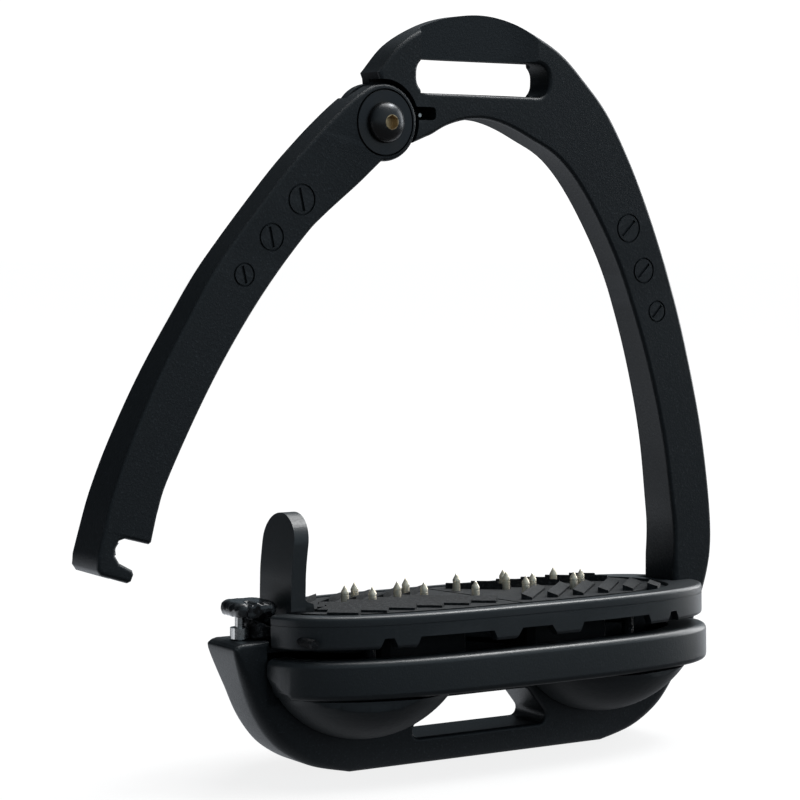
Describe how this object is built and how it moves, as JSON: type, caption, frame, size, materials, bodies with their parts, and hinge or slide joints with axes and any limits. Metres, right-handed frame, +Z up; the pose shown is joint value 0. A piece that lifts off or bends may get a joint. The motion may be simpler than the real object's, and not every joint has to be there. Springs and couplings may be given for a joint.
{
  "type": "stirrup iron",
  "caption": "Safety stirrup iron with a turned eye, a hinged outer release arm held by a sprung catch, and a wide tilted tread with rubber pads and pointed studs.",
  "frame": {"origin": "middle of the flat underside of the base", "axes": "+X across the stirrup to the fixed arm, -Y the front with the pivot screw, +Z up to the eye"},
  "size_m": [0.176, 0.0528, 0.1774],
  "materials": {
    "anodised": "satin black anodised",
    "satin_black": "satin black, fine grain",
    "gloss_black": "gloss black",
    "rubber": "speckled black rubber",
    "steel": "bright",
    "brass_steel": "bright, pale brass tint",
    "dark_steel": "blackened",
    "bronze": "plain bearing bronze",
    "nylon": "plain"
  },
  "bodies": {
    "stirrup_frame": {"main_frame": "anodised", "pivot_screw": "dark_steel", "pivot_washer": "dark_steel", "pivot_barrel_nut": "dark_steel", "thrust_washer": "nylon", "torsion_spring": "steel", "tread_tray": "satin_black", "tread_plate": "satin_black", "cushion_left": "rubber", "cushion_right": "rubber", "grip_pad_left": "rubber", "grip_pad_right": "rubber", "grip_stud_01": "brass_steel", "grip_stud_02": "brass_steel", "grip_stud_03": "brass_steel", "grip_stud_04": "brass_steel", "grip_stud_05": "brass_steel", "grip_stud_06": "brass_steel", "grip_stud_07": "brass_steel", "grip_stud_08": "brass_steel", "grip_stud_09": "brass_steel", "grip_stud_10": "brass_steel", "grip_stud_11": "brass_steel", "grip_stud_12": "brass_steel", "grip_stud_13": "brass_steel", "grip_stud_14": "brass_steel", "grip_stud_15": "brass_steel", "tray_screw_left": "steel", "tray_screw_right": "steel", "plate_post_1": "steel", "plate_post_2": "steel", "plate_post_3": "steel", "plate_post_4": "steel", "lever_bracket": "steel", "latch_post": "steel", "post_collar": "steel", "rocker_pin": "steel", "lever_pin": "steel", "lever_spring": "steel"},
    "arm": {"release_arm": "anodised", "pivot_bush": "bronze", "notch_liner": "steel"},
    "lever": {"release_lever": "satin_black"},
    "rocker": {"release_rocker": "steel"},
    "catch": {"catch_head": "gloss_black"}
  },
  "joints": [
    {"name": "arm_hinge", "type": "hinge", "parent": "stirrup_frame", "child": "arm", "pos_m": [-0.0283, 0, 0.1512], "axis": [0, 1, 0], "range_deg": [-16.85, 0], "stiffness_Nm_per_rad": 0.12, "springref_deg": 20.05},
    {"name": "lever_hinge", "type": "hinge", "parent": "stirrup_frame", "child": "lever", "pos_m": [-0.0485, 0, 0.0358], "axis": [0, -1, 0], "range_deg": [0, 8], "stiffness_Nm_per_rad": 0.02, "springref_deg": -2.86},
    {"name": "rocker_hinge", "type": "hinge", "parent": "stirrup_frame", "child": "rocker", "pos_m": [-0.056, 0, 0.0334], "axis": [0, 1, 0], "range_deg": [0, 14.4]},
    {"name": "catch_slide", "type": "slide", "parent": "stirrup_frame", "child": "catch", "axis": [0, 0, 1], "range_m": [0, 0.0009]}
  ],
  "couplings": [
    {"joint": "rocker_hinge", "follows": "lever_hinge", "ratio": 1.8},
    {"joint": "catch_slide", "follows": "lever_hinge", "m_per_rad": 0.00644}
  ]
}
